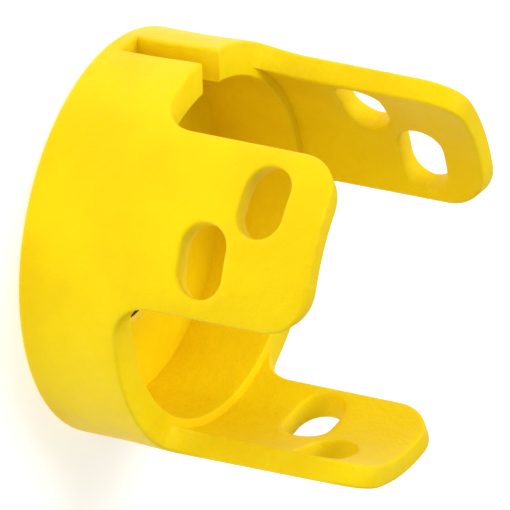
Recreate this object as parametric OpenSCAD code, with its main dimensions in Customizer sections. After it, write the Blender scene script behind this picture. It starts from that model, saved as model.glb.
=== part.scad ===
// Padlocking collar for a 40 mm mushroom emergency-stop button. The base plate is trapped
// between the button and the panel it is mounted on. Padlock shackles through the holes in
// the three tongues then stop the mushroom head from being reached, pulled or turned.
// The origin is the centre of the mounting hole, in the plane of the panel. +Z runs along
// the button's axis, out of the panel. The front tongue is centred on -Y.

/* [Collar] */
// Outer diameter of the collar at the panel
base_d = 48.4; // [46:0.2:56]
// Outer diameter at the rim, where the two mould halves meet
rim_d = 48.9; // [46.4:0.1:57]
// Outer diameter at the free end of the tongues
end_d = 48.3; // [46:0.1:56]
// Bore around the mushroom head
bore_d = 40.6; // [40.2:0.1:43]
// Height of the rim between the tongues, above the panel
rim_h = 12.9; // [10:0.1:18]
// Overall height, to the ends of the tongues
height = 37.2; // [34:0.1:44]
// Thickness of the base plate
plate_t = 2.1; // [1.6:0.1:3]
// Radius of the back edge
back_edge_r = 0.6; // [0.3:0.1:1.2]

/* [Mounting hole] */
// Mounting hole for a 22 mm button
hole_d = 22.5; // [22.3:0.1:22.8]

/* [Tongues] */
// Angle that one tongue covers
tongue_angle = 52; // [44:1:60]
// Inner diameter between the tongues
tongue_bore_d = 42.8; // [42:0.1:45]
// Step in from the rim to the outside of the tongues, at the mould's parting line
parting_step = 0.05; // [0.02:0.01:0.2]
// Radius of the fillets at the tongue roots
root_fillet_r = 4.3; // [3:0.1:6]
// Radius of the free corners of the tongues
corner_r = 5.2; // [3:0.1:7]

/* [Padlock holes] */
// Length of a padlock hole, across the tongue
lock_hole_l = 8.8; // [8:0.1:10]
// Width of a padlock hole, along the tongue
lock_hole_w = 5.7; // [5:0.1:6.5]
// Distance of both holes from the middle of the tongue
lock_hole_offset = 4; // [3.5:0.1:4.5]
// Height of the hole nearer the free end
upper_hole_z = 29.3; // [28:0.1:31]
// Height of the hole nearer the root
lower_hole_z = 23.4; // [22:0.1:25]

/* [Drain slot] */
// Width of the slot through the collar wall
slot_w = 4; // [3:0.1:5]
// Angle from the middle of the front tongue to the slot
slot_angle = 57; // [52:1:68]

/* [Panel gasket] */
// Outer diameter of the gasket
gasket_d = 32; // [30:0.5:38]
// Thickness of the gasket, and depth of its recess
gasket_t = 0.8; // [0.5:0.1:1]

/* [Hidden] */
$fn = 96;

TONGUES = 3;
TONGUE_STEP = 360 / TONGUES;
FRONT_ANGLE = -90;      // direction of the middle of the front tongue
OVERCUT = 1;            // how far a cutter reaches past the face that it cuts
RECESS_PLAY = 0.2;      // room around the gasket in its recess
CUT_START = 17;         // cutters through the wall start at this radius
CUT_END = 30;           // and end at this one
SIDE_START = 8;         // what shapes a tongue's side starts at this radius
SIDE_WIDTH = 24;        // and reaches this far across the tongue

half_tongue = tongue_angle / 2;

// Pushes a profile out along +X, from a radius to past the wall. The profile's X becomes Y,
// and its Y becomes the height.
module push_out(start) {
    translate([start, 0, 0])
        rotate([90, 0, 90])
            linear_extrude(height = CUT_END - start) children();
}

// The slot through the collar wall, from the base plate up through the rim.
module drain_slot() {
    translate([CUT_START, -slot_w / 2, plate_t])
        cube([CUT_END - CUT_START, slot_w, rim_h]);
}

// Recess in the underside that holds the gasket.
module gasket_recess() {
    translate([0, 0, -OVERCUT])
        cylinder(h = OVERCUT + gasket_t, d = gasket_d + 2 * RECESS_PLAY);
}

// The cup that the tongues stand on: the base plate, and the thick wall up to the rim. It
// is drawn with its slot along +X.
module cup() {
    difference() {
        rotate_extrude()
            polygon([
                [hole_d / 2, 0],
                [base_d / 2 - back_edge_r, 0],
                [base_d / 2, back_edge_r],
                [base_d / 2, rim_h / 2],
                [rim_d / 2, rim_h],
                [bore_d / 2, rim_h],
                [bore_d / 2, plate_t],
                [hole_d / 2, plate_t]
            ]);
        drain_slot();
        gasket_recess();
    }
}

// Outer radius of the tongues at height z. The mould's draft makes them thinner upwards.
function outer_r(z) =
    let (root_r = rim_d / 2 - parting_step, end_r = end_d / 2)
    root_r + (end_r - root_r) * (z - rim_h) / (height - rim_h);

// A full ring of the tongues' section, a little longer than they are.
module tongue_ring() {
    bottom = rim_h - OVERCUT;
    top = height + OVERCUT;
    rotate([0, 0, 180])
        rotate_extrude()
            polygon([
                [tongue_bore_d / 2, bottom],
                [outer_r(bottom), bottom],
                [outer_r(top), top],
                [tongue_bore_d / 2, top]
            ]);
}

// Outline of a tongue next to one of its sides, which is at X = 0. It has a rounded free
// corner, and a fillet where it meets the rim.
module side_profile() {
    f = root_fillet_r;
    c = corner_r;
    translate([-SIDE_WIDTH, rim_h]) square([SIDE_WIDTH, height - c - rim_h]);
    translate([-SIDE_WIDTH, rim_h]) square([SIDE_WIDTH - c, height - rim_h]);
    translate([-c, height - c]) circle(r = c);
    difference() {
        translate([-OVERCUT, rim_h]) square([OVERCUT + f, f]);
        translate([f, rim_h + f]) circle(r = f);
    }
}

// Everything on the inner side of the tongue's side towards +Y. The side runs radially.
module tongue_side() {
    rotate([0, 0, half_tongue]) push_out(SIDE_START) side_profile();
}

// One padlock hole: a slot with round ends, cut straight through the tongue.
module lock_hole(y, z) {
    half = (lock_hole_l - lock_hole_w) / 2;
    push_out(CUT_START)
        translate([y, z]) {
            for (s = [-1, 1])
                translate([s * half, 0]) circle(d = lock_hole_w);
            square([2 * half, lock_hole_w], center = true);
        }
}

// One tongue along +X, with its two padlock holes.
module tongue() {
    difference() {
        intersection() {
            tongue_ring();
            tongue_side();
            mirror([0, 1, 0]) tongue_side();
        }
        lock_hole(-lock_hole_offset, upper_hole_z);
        lock_hole(lock_hole_offset, lower_hole_z);
    }
}

// One moulding: base plate, collar wall and three tongues.
module collar() {
    color("#f7d417")
        union() {
            rotate([0, 0, FRONT_ANGLE - slot_angle]) cup();
            for (i = [0:TONGUES - 1])
                rotate([0, 0, FRONT_ANGLE + i * TONGUE_STEP]) tongue();
        }
}

// Flat rubber ring that seals the collar to the panel.
module panel_gasket() {
    color("#26272a")
        difference() {
            cylinder(h = gasket_t, d = gasket_d);
            translate([0, 0, -OVERCUT])
                cylinder(h = gasket_t + 2 * OVERCUT, d = hole_d);
        }
}

collar();
panel_gasket();
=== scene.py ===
import math

import bpy
import bmesh
import numpy as np
from mathutils import Matrix, Vector
from mathutils.geometry import delaunay_2d_cdt


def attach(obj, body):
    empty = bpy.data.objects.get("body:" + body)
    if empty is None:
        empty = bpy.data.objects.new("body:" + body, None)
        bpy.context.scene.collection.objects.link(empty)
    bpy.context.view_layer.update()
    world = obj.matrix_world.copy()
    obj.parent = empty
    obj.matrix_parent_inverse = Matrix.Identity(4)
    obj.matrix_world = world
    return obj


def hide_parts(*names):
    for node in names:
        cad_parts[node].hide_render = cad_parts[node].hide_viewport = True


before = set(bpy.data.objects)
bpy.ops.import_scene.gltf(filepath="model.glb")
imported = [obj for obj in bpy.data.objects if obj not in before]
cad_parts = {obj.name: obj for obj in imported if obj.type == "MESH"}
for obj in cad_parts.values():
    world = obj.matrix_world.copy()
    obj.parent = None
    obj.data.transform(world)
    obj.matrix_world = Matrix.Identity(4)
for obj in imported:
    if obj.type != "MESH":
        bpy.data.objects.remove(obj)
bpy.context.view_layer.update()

# ---------------------------------------------------------------------------------------
# The collar: one injection moulding in traffic-yellow plastic with a satin, very finely
# grained surface. The base plate is trapped between button and panel, and the wall and
# its three tongues stand out from the panel. The mould leaves every edge slightly soft.

R_BASE, R_RIM, R_END = 24.2, 24.44, 24.15   # outer radii, in millimetres as all sizes here
R_TONGUE_IN, R_BORE, R_HOLE = 21.4, 20.3, 11.25
Z_PLATE, Z_RIM, Z_END = 2.1, 12.9, 37.2
TONGUES = [math.radians(a) for a in (-90, 30, 150)]
HALF_TONGUE = math.radians(26)
FILLET, CORNER = 4.3, 5.2                   # at a tongue's root, and at its free end
SLOT_ANGLE, SLOT_HALF = math.radians(-147), 2.0
LOCK_HOLES = [(-4.0, 29.3), (4.0, 23.4)]    # sideways place and height of each centre
LOCK_HALF_LENGTH, LOCK_RADIUS = 1.55, 2.85
RECESS_R, RECESS_Z = 16.2, 0.8              # the gasket's seat in the underside
PLATE_RINGS = (17.5, 14.5)                  # only to keep the plate's faces short

SOFT, BORE_SOFT, HOLE_SOFT, BACK_EDGE = 0.42, 0.3, 0.3, 0.6   # how far edges are rounded
SOFT_GROWTH = 2.0                           # height over which the inner edges grow soft
BREAK, NICK = 0.1, 0.05                     # tiny breaks of the edges on the underside
WEAR_REACH = 1.2                            # how far from an edge the handling wear shows
STEP, CELL = 0.45, 0.9                      # spacing along edges, and inside the faces
FLAT_R = 24.4                               # the wall is laid out flat at this radius
ROUNDING = np.radians([0, 22.5, 45, 67.5, 90])
FULL_TURN = 2 * math.pi


def wall_radius(z):
    """Outer radius at a height: straight at the base, widest at the rim, and tapering
    evenly from there to the ends of the tongues."""
    return np.interp(z, [0, Z_RIM / 2, Z_RIM, Z_END], [R_BASE, R_BASE, R_RIM, R_END])


def slot_turn(radius):
    """Half the slot's width as an angle at a radius: asin(half width / radius)."""
    return np.arcsin(SLOT_HALF / radius)


def line(a, b, step):
    """Points from a to b, evenly spaced by about the step, with b left out."""
    a, b = np.asarray(a, float), np.asarray(b, float)
    n = max(1, round(float(np.linalg.norm(b - a)) / step))
    return a + (b - a) * (np.arange(n) / n)[:, None]


def arc(centre, radius, start, end, step):
    """Points on a circle from one angle to another, with the last one left out."""
    n = max(2, round(abs(end - start) * radius / step))
    t = start + (end - start) * np.arange(n) / n
    return np.stack([centre[0] + radius * np.cos(t), centre[1] + radius * np.sin(t)], 1)


def pairs(x, y):
    """Points in the flat from two arrays, of which one may be a single value."""
    return np.stack(np.broadcast_arrays(x, y), 1)


def tongue_side():
    """Outline of a tongue's side from its foot on the rim to where its end turns straight,
    as (distance out from the side, height): root fillet, straight side, free corner."""
    return np.concatenate([
        arc((FILLET, Z_RIM + FILLET), FILLET, 1.5 * math.pi, math.pi, STEP),
        line((0, Z_RIM + FILLET), (0, Z_END - CORNER), STEP),
        arc((-CORNER, Z_END - CORNER), CORNER, 0, math.pi / 2, STEP),
        [(-CORNER, Z_END)],
    ])


def outline():
    """The wall's upper edge, once round from one side of the slot to the other, as rows of
    outer angle, inner angle, height and tongue number, which is 0 on the rim. A distance
    out from a radial plane is the angle asin(distance / radius), so that the sides of the
    tongues stay radial and the slot parallel."""
    side = tongue_side()
    rim_radii = wall_radius(Z_RIM), R_TONGUE_IN
    rows = []

    def add(outer, inner, z, tongue):
        rows.append(np.stack(np.broadcast_arrays(outer, inner, z, tongue), 1))

    def level(start, end, z, tongue):
        """Points at one height between two places, with both of them left out."""
        n = max(2, round((end[0] - start[0]) * FLAT_R / STEP))
        t = np.arange(1, n) / n
        add(*[a + (b - a) * t for a, b in zip(start, end)], z, tongue)

    last = [SLOT_ANGLE + slot_turn(r) for r in rim_radii]
    add(last[:1], last[1:], Z_RIM, 0)
    for number, middle in enumerate(TONGUES, 1):
        left = [middle - HALF_TONGUE - np.arcsin(side[:, 0] / r)
                for r in (wall_radius(side[:, 1]), R_TONGUE_IN)]
        right = [2 * middle - a[::-1] for a in left]
        level(last, [a[0] for a in left], Z_RIM, 0)
        add(*left, side[:, 1], number)
        level([a[-1] for a in left], [a[0] for a in right], Z_END, number)
        add(*right, side[::-1, 1], number)
        last = [a[-1] for a in right]
    end = [SLOT_ANGLE + FULL_TURN - slot_turn(r) for r in rim_radii]
    level(last, end, Z_RIM, 0)
    add(end[:1], end[1:], Z_RIM, 0)
    return np.concatenate(rows).T


def stadium():
    """A padlock hole's outline: two half circles joined by straight lines."""
    h, r, fine = LOCK_HALF_LENGTH, LOCK_RADIUS, STEP * 0.8
    return np.concatenate([
        line((-h, -r), (h, -r), STEP), arc((h, 0), r, -math.pi / 2, math.pi / 2, fine),
        line((h, r), (-h, r), STEP), arc((-h, 0), r, math.pi / 2, 1.5 * math.pi, fine),
    ])


def lock_holes(radius_at):
    """The padlock holes' outlines on a skin, as (angle, height), from the radius of the
    skin at each height."""
    hole = stadium()
    return [pairs(middle + np.arcsin((hole[:, 0] + y) / radius_at(hole[:, 1] + z)), hole[:, 1] + z)
            for middle in TONGUES for y, z in LOCK_HOLES]


def edge_distance(points, loops):
    """Distance from each point to the nearest segment of any of the open polylines."""
    best = np.full(len(points), np.inf)
    for loop in loops:
        a, d = loop[:-1], np.diff(loop, axis=0)
        t = np.einsum("pse,se->ps", points[:, None] - a, d) / (d * d).sum(1)
        near = a + np.clip(t, 0, 1)[..., None] * d
        best = np.minimum(best, np.linalg.norm(points[:, None] - near, axis=2).min(1))
    return best


def inside(points, loops):
    """Which points lie within the closed loops, by the number of crossings to the right."""
    odd = np.zeros(len(points), bool)
    for loop in loops:
        a, b = loop, np.roll(loop, -1, 0)
        spans = (a[:, 1] > points[:, None, 1]) != (b[:, 1] > points[:, None, 1])
        rise = np.where(b[:, 1] == a[:, 1], 1, b[:, 1] - a[:, 1])
        x = a[:, 0] + (points[:, None, 1] - a[:, 1]) * (b[:, 0] - a[:, 0]) / rise
        odd ^= (spans & (points[:, None, 0] < x)).sum(1) % 2 == 1
    return odd


def rows_beside(edges, soft):
    """Rows of points on both sides of the edges, at the distances where a quarter circle
    turns by equal angles: soft * (1 - cos(turn)). Points nearer to another edge go."""
    rows = []
    for edge in edges:
        tangent = np.gradient(edge, axis=0)
        normal = np.stack([-tangent[:, 1], tangent[:, 0]], 1)
        normal /= np.linalg.norm(normal, axis=1)[:, None]
        for turn in ROUNDING[1:]:
            distance = soft * (1 - math.cos(turn))
            for sign in (-1, 1):
                row = edge + sign * distance * normal
                rows.append(row[edge_distance(row, edges) > 0.985 * distance])
    return rows


def fill(loops, soft_edges, soft):
    """A flat sheet within closed loops, as points, triangles and each point's distance to
    the soft edges. Rows of points follow those edges, a staggered grid fills the middle,
    and a Delaunay triangulation joins them all."""
    row_gap, grid_gap, edge_gap = 0.02, 0.3, soft + 0.4
    low, high = np.min(loops[0], 0), np.max(loops[0], 0)
    grid = np.stack(np.meshgrid(np.arange(low[0], high[0], CELL),
                                np.arange(low[1], high[1], CELL)), -1)
    grid[::2, :, 0] += CELL / 2
    grid = grid.reshape(-1, 2)
    grid = grid[edge_distance(grid, soft_edges) > edge_gap]
    closed = [np.concatenate([loop, loop[:1]]) for loop in loops]
    grid = grid[edge_distance(grid, closed) > grid_gap]
    free = np.concatenate([*rows_beside(soft_edges, soft), grid])
    free = free[inside(free, loops) & (edge_distance(free, closed) > row_gap)]

    bounds, first = [], 0
    for loop in loops:
        n = len(loop)
        bounds += [(first + i, first + (i + 1) % n) for i in range(n)]
        first += n
    points = [Vector(p) for p in np.concatenate([*loops, free])]
    points, _, faces, *_ = delaunay_2d_cdt(points, bounds, [], 0, 1e-7)
    points, faces = np.array([tuple(p) for p in points]), np.array(faces)
    faces = faces[inside(points[faces].mean(1), loops)]
    return points, faces, edge_distance(points, soft_edges)


def quarter(distance, soft):
    """How far a rounded edge drops below its face, at a distance from the edge."""
    left = np.clip(soft - distance, 0, None)
    return soft - np.sqrt(np.clip(soft * soft - left * left, 0, None))


def turned(radius, angle, z):
    """Points from radius, angle and height, each an array or a single value."""
    radius, angle, z = np.broadcast_arrays(radius, angle, z)
    return np.stack([radius * np.cos(angle), radius * np.sin(angle), z], -1)


class Shell:
    """Gathers sheets and strips as whole arrays, and joins them where they meet. Each point
    also has an edge value, from 0 on open faces to 1 on an edge."""

    def __init__(self):
        self.points, self.faces, self.edge, self.count = [], [], [], 0

    def add(self, points, faces, edge):
        self.points.append(points.reshape(-1, 3))
        self.edge.append(np.broadcast_to(edge, len(self.points[-1])))
        self.faces += (np.asarray(faces) + self.count).tolist()
        self.count += len(self.points[-1])

    def strip(self, rows, edge=0.0, closed=False):
        """Quads between rows of points. Each row has the same number of points."""
        rows = np.stack(rows)
        m, n = rows.shape[:2]
        i = np.arange(m * n).reshape(m, n)
        if closed:
            i = np.concatenate([i, i[:, :1]], 1)
        quads = np.stack([i[:-1, :-1], i[:-1, 1:], i[1:, 1:], i[1:, :-1]], -1).reshape(-1, 4)
        self.add(rows, quads, edge)

    def piece(self, name, sharp_angle):
        """One closed object in metres, smooth except where faces meet at a sharp angle."""
        mesh = bpy.data.meshes.new(name)
        mesh.from_pydata((np.concatenate(self.points) * 0.001).tolist(), [], self.faces)
        mesh.attributes.new("edge", "FLOAT", "POINT").data.foreach_set(
            "value", np.concatenate(self.edge).astype(np.float32))
        bm = bmesh.new()
        bm.from_mesh(mesh)
        bmesh.ops.remove_doubles(bm, verts=bm.verts, dist=3e-6)
        bmesh.ops.recalc_face_normals(bm, faces=bm.faces)
        bm.to_mesh(mesh)
        bm.free()
        mesh.shade_smooth()
        mesh.set_sharp_from_angle(angle=math.radians(sharp_angle))
        obj = bpy.data.objects.new(name, mesh)
        bpy.context.collection.objects.link(obj)
        return obj


def skin(loops, soft_edges, flat_radius):
    """A sheet filled in the flat, where x is the angle times a radius and y the height.
    Returns its angles, heights, triangles and distances to the soft edges."""
    scale = np.array([flat_radius, 1.0])
    flat, faces, distance = fill([loop * scale for loop in loops],
                                 [edge * scale for edge in soft_edges], SOFT)
    return flat[:, 0] / flat_radius, flat[:, 1], faces, distance


def wear(distance):
    """The edge value at a distance from an edge: 1 on it, falling evenly to 0."""
    return np.clip(1 - distance / WEAR_REACH, 0, 1)


def lap(loop):
    """A closed loop as a polyline that runs on over its first two points."""
    return np.concatenate([loop, loop[:2]])


def inner_soft(z):
    """Rounding of a tongue's inner edges, which grow soft above the rim."""
    return SOFT * np.clip((z - Z_RIM) / SOFT_GROWTH, 0, 1)


shell = Shell()
out_angle, in_angle, edge_z, tongue = outline()
holes_out = lock_holes(wall_radius)
holes_in = lock_holes(lambda z: R_TONGUE_IN)

# Heights up the slot's walls and the bore, closer together where the bore's edge rounds.
wall_steps = 12
wall_z = np.round(np.concatenate([
    Z_PLATE + (Z_RIM - SOFT - Z_PLATE) * np.arange(wall_steps) / wall_steps,
    Z_RIM - BORE_SOFT * (1 - np.sin(ROUNDING[:-1])), [Z_RIM]]), 6)
bore_r = R_BORE + quarter(Z_RIM - wall_z, BORE_SOFT)
across_slot = np.linspace(-1, 1, 11)

# Angles round the shoulder and the bore: the rim's own between the tongues, and even steps
# along the foot of each tongue.
foot_steps = np.arange(34) / 33
rim_runs = np.split(in_angle[tongue == 0], np.where(np.diff(np.where(tongue == 0)[0]) > 1)[0] + 1)
feet = [a[0] + (a[-1] - a[0]) * foot_steps for a in (in_angle[tongue == k] for k in (1, 2, 3))]
ring_angle = np.concatenate([
    rim_runs[0], feet[0], rim_runs[1], feet[1], rim_runs[2], feet[2], rim_runs[3]])


def with_slot(angle, radius):
    """The ring's angles at any radius: those near the slot are shifted, less and less over
    8 degrees, so that the ring starts and ends at the slot's parallel walls."""
    shift = slot_turn(radius) - (ring_angle[0] - SLOT_ANGLE)
    near = math.radians(8)
    after, before = angle - ring_angle[0], ring_angle[-1] - angle
    return angle + shift * (np.clip(1 - after / near, 0, 1) - np.clip(1 - before / near, 0, 1))


# Angles round the base plate, once round from the middle of the slot.
plate_angle = np.concatenate([with_slot(ring_angle, R_BORE),
                              SLOT_ANGLE + FULL_TURN + slot_turn(R_BORE) * across_slot[1:-1]])
plate_angle = np.where(plate_angle > SLOT_ANGLE + FULL_TURN + 1e-9,
                       plate_angle - FULL_TURN, plate_angle)
plate_angle = np.unique(np.round([SLOT_ANGLE, *plate_angle, SLOT_ANGLE + FULL_TURN], 9))

# Outer skin, cut open at the slot's middle: along the base, up the seam, over the slot's
# floor and wall, along the rim and tongues, and back down.
slot_side = slot_turn(wall_radius(wall_z))
half_floor = slot_turn(wall_radius(Z_PLATE)) * across_slot[5:]
seam = pairs(SLOT_ANGLE, Z_PLATE - SOFT * (1 - np.cos(ROUNDING[:0:-1])))
upper = np.concatenate([
    pairs(SLOT_ANGLE + half_floor, Z_PLATE)[:-1],
    pairs(SLOT_ANGLE + slot_side, wall_z)[:-1],
    pairs(out_angle, edge_z),
    pairs(SLOT_ANGLE + FULL_TURN - slot_side, wall_z)[::-1][1:],
    pairs(SLOT_ANGLE + FULL_TURN - half_floor[::-1], Z_PLATE)[1:],
])
outer_loop = np.concatenate([
    pairs(plate_angle[::-1], BACK_EDGE), seam, upper, (seam + [FULL_TURN, 0])[::-1]])
angle, z, faces, distance = skin(
    [outer_loop, *holes_out], [upper, *map(lap, holes_out)], FLAT_R)
shell.add(turned(wall_radius(z) - quarter(distance, SOFT), angle, z), faces, wear(distance))

# Inner skins of the tongues.
for k, foot in enumerate(feet):
    on_tongue = tongue == k + 1
    side = pairs(in_angle[on_tongue], edge_z[on_tongue])
    two_holes = holes_in[2 * k:2 * k + 2]
    angle, z, faces, distance = skin(
        [np.concatenate([side, pairs(foot[-2:0:-1], Z_RIM)]), *two_holes],
        [side, *map(lap, two_holes)], R_TONGUE_IN)
    shell.add(turned(R_TONGUE_IN + quarter(distance, inner_soft(z)), angle, z),
              faces, wear(distance))

# The faces between the skins: the rim, the sides and ends of the tongues, and the holes.
shell.strip([turned(wall_radius(edge_z) - SOFT, out_angle, edge_z),
             turned(R_TONGUE_IN + inner_soft(edge_z), in_angle, edge_z)], edge=0.4)
for h_out, h_in in zip(holes_out, holes_in):
    shell.strip([turned(wall_radius(h_out[:, 1]) - SOFT, h_out[:, 0], h_out[:, 1]),
                 turned(R_TONGUE_IN + SOFT, h_in[:, 0], h_in[:, 1])], edge=0.3, closed=True)

# Shoulder and bore.
shell.strip([turned(R_TONGUE_IN, ring_angle, Z_RIM)]
            + [turned(r, with_slot(ring_angle, r), z)
               for r, z in zip(bore_r[::-1], wall_z[::-1])], edge=0.1)

# Slot walls and floor.
for sign, start in ((1, SLOT_ANGLE), (-1, SLOT_ANGLE + FULL_TURN)):
    columns = [(wall_radius(wall_z) - SOFT, slot_side),
               (R_TONGUE_IN, slot_turn(R_TONGUE_IN)), (bore_r, slot_turn(bore_r))]
    shell.strip([turned(r, start + sign * a, wall_z) for r, a in columns], edge=0.2)
floor_rows = [(wall_radius(Z_PLATE) - SOFT, slot_turn(wall_radius(Z_PLATE))),
              (R_TONGUE_IN, slot_turn(R_TONGUE_IN)), (R_BORE, slot_turn(R_BORE))]
shell.strip([turned(r, SLOT_ANGLE + a * across_slot, Z_PLATE) for r, a in floor_rows], edge=0.1)

# Base plate: a turned profile from the bore over the mounting hole and the underside.
UNDERSIDE_RING = 20.0
profile = np.concatenate([
    pairs([R_BORE, *PLATE_RINGS], Z_PLATE),
    pairs(R_HOLE + HOLE_SOFT * (1 - np.sin(ROUNDING)), Z_PLATE - HOLE_SOFT * (1 - np.cos(ROUNDING))),
    [(R_HOLE, RECESS_Z + BREAK), (R_HOLE + BREAK, RECESS_Z),
     (RECESS_R - NICK, RECESS_Z), (RECESS_R, RECESS_Z - NICK),
     (RECESS_R, BREAK), (RECESS_R + BREAK, 0), (UNDERSIDE_RING, 0)],
    pairs(R_BASE - BACK_EDGE * (1 - np.sin(ROUNDING)), BACK_EDGE * (1 - np.cos(ROUNDING))),
])
shell.strip([turned(r, plate_angle[:-1], z) for r, z in profile], edge=0.1, closed=True)
collar = shell.piece("collar_moulding", 38)
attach(collar, "root"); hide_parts("collar")


class Socket:
    """A value inside a material. Arithmetic on it adds Math nodes."""

    def __init__(self, finish, out):
        self.finish, self.out = finish, out

    def math(self, operation, *values):
        return self.finish.node("ShaderNodeMath", {"operation": operation},
                                dict(enumerate(values)))

    def __add__(self, other):
        return self.math("ADD", self, other)

    def __radd__(self, other):
        return self.math("ADD", other, self)

    def __mul__(self, other):
        return self.math("MULTIPLY", self, other)

    def __rmul__(self, other):
        return self.math("MULTIPLY", other, self)

    def __pow__(self, other):
        return self.math("POWER", self, other)

    def __rpow__(self, other):
        return self.math("POWER", other, self)

    def between(self, low, high):
        """0 below low, 1 above high, and a smooth step from one to the other."""
        return self.finish.node(
            "ShaderNodeMapRange", {"interpolation_type": "SMOOTHSTEP"},
            {"Value": self, "From Min": low, "From Max": high})


class Finish:
    """A material with one Principled shader. Its constants go on the shader's own sockets,
    written with _ for a space."""

    def __init__(self, name, **constants):
        self.material = bpy.data.materials.new(name)
        self.material.use_nodes = True
        self.tree = self.material.node_tree
        self.shader = self.tree.nodes["Principled BSDF"]
        self.feed(**constants)

    def node(self, kind, settings=(), sockets=(), output=0):
        """Any node, from its type, its settings, and the values or links of its sockets."""
        made = self.tree.nodes.new(kind)
        for key, value in dict(settings).items():
            setattr(made, key, value)
        for key, value in dict(sockets).items():
            self.set(made.inputs[key], value)
        return Socket(self, made.outputs[output])

    def set(self, target, value):
        if isinstance(value, Socket):
            self.tree.links.new(value.out, target)
        else:
            target.default_value = value

    def feed(self, **sockets):
        for key, value in sockets.items():
            self.set(self.shader.inputs[key.replace("_", " ")], value)

    def noise(self, scale, detail=3.0, roughness=0.5):
        """Noise with so many cells per metre, on the piece's own coordinates."""
        place = self.node("ShaderNodeTexCoord", output="Object")
        return self.node("ShaderNodeTexNoise", {}, {
            "Vector": place, "Scale": scale, "Detail": detail, "Roughness": roughness})

    def mix(self, factor, a, b):
        """A colour between a and b."""
        return self.node("ShaderNodeMix", {"data_type": "RGBA"},
                         {"Factor": factor, 6: a, 7: b}, output=2)

    def bump(self, height, depth, under=None):
        """Surface relief of a depth in metres, on top of another one."""
        sockets = {"Height": height, "Distance": depth, "Strength": 1.0}
        if under is not None:
            sockets["Normal"] = under
        return self.node("ShaderNodeBump", {}, sockets)


DEEP_YELLOW, LIGHT_YELLOW = (0.885, 0.618, 0.0016, 1), (0.955, 0.702, 0.0026, 1)
PORE_YELLOW, RUBBED_YELLOW = (0.80, 0.55, 0.002, 1), (0.97, 0.78, 0.035, 1)
FLOW_DEPTH, GRAIN_DEPTH = 7.0e-5, 4.0e-5

yellow = Finish("satin_yellow_plastic", Specular_IOR_Level=0.22, IOR=1.5,
                Specular_Tint=(1, 0.85, 0.25, 1))
cloudy = yellow.noise(75, 4).between(0.32, 0.68)            # resin colour, 13 mm patches
flow = yellow.noise(420, 5, 0.6).between(0.3, 0.7)          # gloss, 2 mm patches
grain = yellow.noise(2600, 2)                               # grain of the mould's face
pores = yellow.noise(7000, 2).between(0.55, 0.8)
near_edge = yellow.node("ShaderNodeAttribute", {"attribute_name": "edge"}, output="Fac")
rubbed = (near_edge ** 2.0) * yellow.noise(420, 5, 0.65).between(0.42, 0.72)
body = yellow.mix(cloudy, DEEP_YELLOW, LIGHT_YELLOW)
body = yellow.mix(pores * 0.10, body, PORE_YELLOW)
body = yellow.mix(rubbed * 0.35, body, RUBBED_YELLOW)
yellow.feed(
    Base_Color=body,
    Roughness=0.40 + flow * 0.10 + grain * 0.06 + rubbed * 0.08,
    Normal=yellow.bump(flow, FLOW_DEPTH, yellow.bump(grain, GRAIN_DEPTH)),
)
collar.data.materials.append(yellow.material)

# ---------------------------------------------------------------------------------------
# The panel gasket: a ring punched from black rubber sheet. It lies in the recess under the
# base plate and is squeezed against the panel when the button's nut is tightened.

GASKET_R, GASKET_MIDDLE, GASKET_T, GASKET_EDGE = 16.0, 13.6, 0.8, 0.08

gasket_shell = Shell()
gasket_angle = np.linspace(0, FULL_TURN, 193)[:-1]
gasket_profile = [
    (R_HOLE + GASKET_EDGE, 0), (GASKET_MIDDLE, 0), (GASKET_R - GASKET_EDGE, 0),
    (GASKET_R, GASKET_EDGE), (GASKET_R, GASKET_T - GASKET_EDGE),
    (GASKET_R - GASKET_EDGE, GASKET_T), (GASKET_MIDDLE, GASKET_T),
    (R_HOLE + GASKET_EDGE, GASKET_T), (R_HOLE, GASKET_T - GASKET_EDGE), (R_HOLE, GASKET_EDGE),
    (R_HOLE + GASKET_EDGE, 0)]
gasket_shell.strip([turned(r, gasket_angle, z) for r, z in gasket_profile], closed=True)
gasket = gasket_shell.piece("gasket_ring", 30)
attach(gasket, "root"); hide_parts("panel_gasket")

CLEAN_RUBBER, DUSTY_RUBBER = (0.016, 0.016, 0.018, 1), (0.060, 0.058, 0.055, 1)
WEAVE_DEPTH = 2.0e-5

rubber = Finish("black_rubber_sheet", Specular_IOR_Level=0.3)
dust = rubber.noise(350, 5, 0.65).between(0.45, 0.75)
weave = rubber.noise(3800, 3)
rubber.feed(
    Base_Color=rubber.mix(dust * 0.5, CLEAN_RUBBER, DUSTY_RUBBER),
    Roughness=0.62 + dust * 0.2 + weave * 0.08,
    Normal=rubber.bump(weave, WEAVE_DEPTH),
)
gasket.data.materials.append(rubber.material)

# ---------------------------------------------------------------------------------------
# The studio: a white table that the collar stands on, in a pale room. One large soft light
# hangs above, one is in front, and the strongest faces the side that the collar opens to.

AZIMUTH, ELEVATION, ROLL = 5.128, 26.77, -101.27    # degrees
DISTANCE, LENS = 0.909, 546.6                       # metres, and millimetres
AIM_RIGHT, AIM_UP = 0.015642, -0.003105             # from the mounting hole's centre, metres
TABLE_HALF, TABLE_DROP = 3, 1e-4                    # metres
LIGHT_DISTANCE, LIGHT_SIZE = 0.7, 0.45
ROOM_BRIGHTNESS, TABLE_GLOW = 0.38, 0.46

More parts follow.
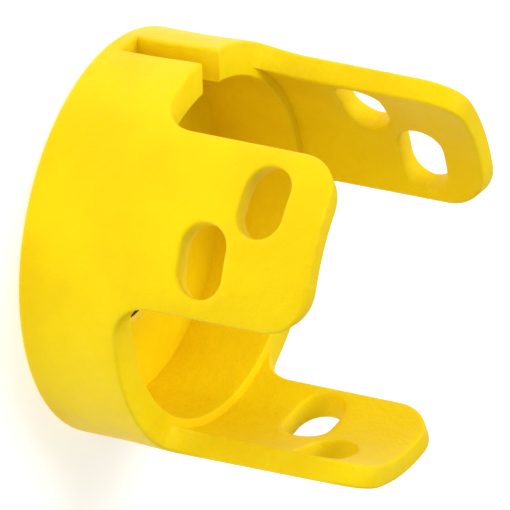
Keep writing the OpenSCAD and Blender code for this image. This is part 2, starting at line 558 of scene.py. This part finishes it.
swing, lift, roll = (math.radians(a) for a in (AZIMUTH - 90, ELEVATION, ROLL))
back = Vector((math.cos(swing) * math.cos(lift), math.sin(swing) * math.cos(lift), math.sin(lift)))
level = Vector((-math.sin(swing), math.cos(swing), 0))
above = back.cross(level)
right = level * math.cos(roll) - above * math.sin(roll)
up_way = level * math.sin(roll) + above * math.cos(roll)

camera = bpy.data.objects.new("camera", bpy.data.cameras.new("camera"))
bpy.context.collection.objects.link(camera)
camera.data.lens, camera.data.sensor_width = LENS, 36
camera.data.clip_start, camera.data.clip_end = 0.01, 100
stand = Matrix((right, up_way, back)).transposed().to_4x4()
stand.translation = back * DISTANCE + right * AIM_RIGHT + up_way * AIM_UP
camera.matrix_world = stand
bpy.context.scene.camera = camera

floor_mesh = bpy.data.meshes.new("floor")
floor_mesh.from_pydata([(x * TABLE_HALF, y * TABLE_HALF, -TABLE_DROP)
                        for x, y in ((-1, -1), (1, -1), (1, 1), (-1, 1))], [], [(0, 1, 2, 3)])
floor = bpy.data.objects.new("floor", floor_mesh)
bpy.context.collection.objects.link(floor)
table = Finish("white_table", Base_Color=(0.80, 0.80, 0.80, 1), Roughness=0.9,
               Emission_Color=(1, 1, 1, 1), Emission_Strength=TABLE_GLOW)
floor_mesh.materials.append(table.material)

world = bpy.data.worlds.new("white_room")
bpy.context.scene.world = world
world.use_nodes = True
world.node_tree.nodes["Background"].inputs["Color"].default_value = (1, 1, 1, 1)
world.node_tree.nodes["Background"].inputs["Strength"].default_value = ROOM_BRIGHTNESS


def soft_light(name, way, watts):
    """A square area light that faces the collar, from a direction given as right, up and
    towards the camera."""
    lamp = bpy.data.lights.new(name, "AREA")
    lamp.energy, lamp.size = watts, LIGHT_SIZE
    obj = bpy.data.objects.new(name, lamp)
    bpy.context.collection.objects.link(obj)
    spot = (right * way[0] + up_way * way[1] + back * way[2]).normalized() * LIGHT_DISTANCE
    obj.location = spot
    obj.rotation_mode = "QUATERNION"
    obj.rotation_quaternion = (-spot).to_track_quat("-Z", "Y")


soft_light("key", (-0.08, 0.68, 0.72), 1.05)
soft_light("front", (0.02, -0.2, 0.93), 1.15)
soft_light("side", (0.9, 0.3, 0.3), 2.9)
bpy.context.scene.view_settings.view_transform = "Standard"
